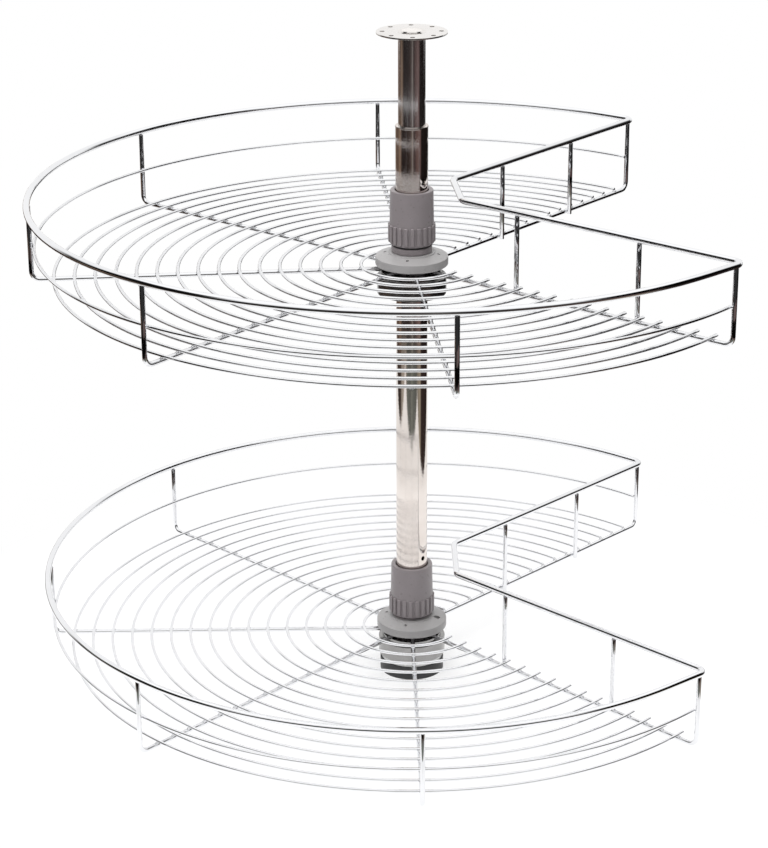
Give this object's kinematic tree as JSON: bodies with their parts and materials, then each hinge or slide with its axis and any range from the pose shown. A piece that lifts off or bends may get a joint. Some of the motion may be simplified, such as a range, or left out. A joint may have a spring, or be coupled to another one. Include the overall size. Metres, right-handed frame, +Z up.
{
  "type": "corner swivel shelf",
  "caption": "Corner cabinet carousel: three-quarter-round chromed wire shelves that swivel on hubs clamped to a telescopic pole by grip nuts.",
  "frame": {"origin": "on the pole's axis, at the underside of the floor foot", "axes": "+Z up along the pole; the lower shelf's notch lies in the quadrant between +X and -Y, and the upper shelf's notch is turned 4.4 degrees from it"},
  "size_m": [0.7103, 0.7122, 0.6358],
  "materials": {
    "chrome_wire": "bright chrome plating on steel wire",
    "chrome_tube": "bright chrome plating on steel tube and pressed sheet",
    "cup_steel": "plated pressed steel, satin",
    "ring_steel": "plated steel ring",
    "grey_plastic": "moulded mid-grey plastic, slightly satin",
    "black_plastic": "moulded black plastic",
    "glide_nylon": "moulded natural nylon",
    "screw_steel": "plated steel screws"
  },
  "bodies": {
    "pole": {"floor_foot": "black_plastic", "thrust_ring": "ring_steel", "outer_tube": "chrome_tube", "top_guide": "chrome_tube", "lock_screw": "screw_steel"},
    "inner_pole": {"inner_tube": "chrome_tube", "bottom_guide": "glide_nylon", "top_flange": "chrome_tube"},
    "lower_hub": {"lower_hub_core": "grey_plastic", "lower_hub_collar": "grey_plastic", "lower_glide_ring": "glide_nylon"},
    "lower_shelf": {"lower_rim": "chrome_wire", "lower_mid_rail": "chrome_wire", "lower_floor_wires": "chrome_wire", "lower_spokes": "chrome_wire", "lower_edge_posts": "chrome_wire", "lower_hub_cup": "cup_steel", "lower_hub_flange": "grey_plastic", "lower_hub_screws": "screw_steel"},
    "lower_nut": {"lower_lock_nut": "grey_plastic"},
    "upper_hub": {"upper_hub_core": "grey_plastic", "upper_hub_collar": "grey_plastic", "upper_glide_ring": "glide_nylon"},
    "upper_shelf": {"upper_rim": "chrome_wire", "upper_mid_rail": "chrome_wire", "upper_floor_wires": "chrome_wire", "upper_spokes": "chrome_wire", "upper_edge_posts": "chrome_wire", "upper_hub_cup": "cup_steel", "upper_hub_flange": "grey_plastic", "upper_hub_screws": "screw_steel"},
    "upper_nut": {"upper_lock_nut": "grey_plastic"}
  },
  "joints": [
    {"name": "pole_extension", "type": "slide", "parent": "pole", "child": "inner_pole", "axis": [0, 0, 1], "range_m": [-0.07, 0.06]},
    {"name": "lower_shelf_height", "type": "slide", "parent": "pole", "child": "lower_hub", "axis": [0, 0, 1], "range_m": [0, 0.16]},
    {"name": "lower_shelf_swivel", "type": "hinge", "parent": "lower_hub", "child": "lower_shelf", "pos_m": [0, 0, 0.0414], "axis": [0, 0, 1], "continuous": true},
    {"name": "lower_nut_turn", "type": "hinge", "parent": "lower_hub", "child": "lower_nut", "pos_m": [0, 0, 0.0914], "axis": [0, 0, 1], "range_deg": [0, 360]},
    {"name": "upper_shelf_height", "type": "slide", "parent": "pole", "child": "upper_hub", "axis": [0, 0, 1], "range_m": [-0.08, 0.045]},
    {"name": "upper_shelf_swivel", "type": "hinge", "parent": "upper_hub", "child": "upper_shelf", "pos_m": [0, 0, 0.4129], "axis": [0, 0, 1], "continuous": true},
    {"name": "upper_nut_turn", "type": "hinge", "parent": "upper_hub", "child": "upper_nut", "pos_m": [0, 0, 0.4629], "axis": [0, 0, 1], "range_deg": [0, 360]}
  ]
}
